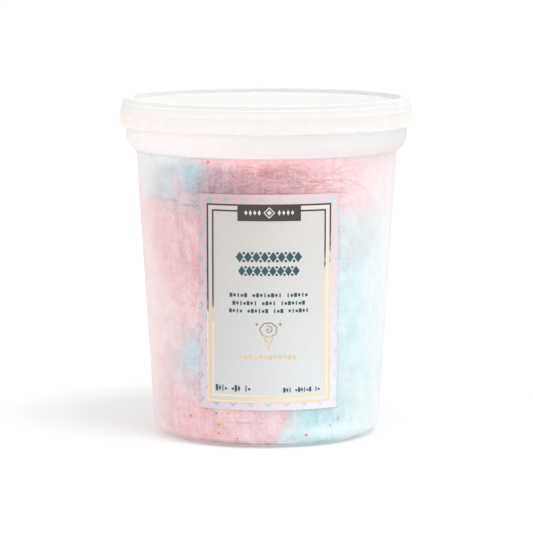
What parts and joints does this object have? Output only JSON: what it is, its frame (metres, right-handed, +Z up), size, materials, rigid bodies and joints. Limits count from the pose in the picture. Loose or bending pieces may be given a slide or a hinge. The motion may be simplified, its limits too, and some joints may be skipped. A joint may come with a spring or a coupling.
{
  "type": "tub of cotton candy",
  "caption": "Frosted plastic tub with a press-fit lid, packed with pink and pale blue cotton candy, with a framed paper label wrapped on its front.",
  "frame": {"origin": "centre of the tub's base, on the surface it stands on", "axes": "+Z up along the tub's axis, -Y towards the label"},
  "size_m": [0.12, 0.12, 0.1374],
  "materials": {
    "frosted_plastic": "thin frosted polypropylene, cloudy and see-through, soft gloss",
    "lid_plastic": "milky white polypropylene, soft gloss",
    "label_paper": "silver-grey satin paper with a pale pink border and printed ornaments",
    "pink_floss": "packed matt sugar floss, soft fibres, pale pink to rose",
    "blue_floss": "packed matt sugar floss, soft fibres, pale cyan to sky blue",
    "label_foil": "pale gold foil printed on the label, satin",
    "label_ink": "dark teal and charcoal ink, flat and matt",
    "sugar_grains": "small coloured sugar grains caught in the floss, glossy"
  },
  "bodies": {
    "root": {"tub": "frosted_plastic", "lid": "lid_plastic", "label": "label_paper", "candy_pink": "pink_floss", "candy_blue_right": "blue_floss", "candy_blue_upper_left": "blue_floss", "candy_blue_lower_left": "blue_floss", "candy_blue_back": "blue_floss"}
  },
  "joints": []
}
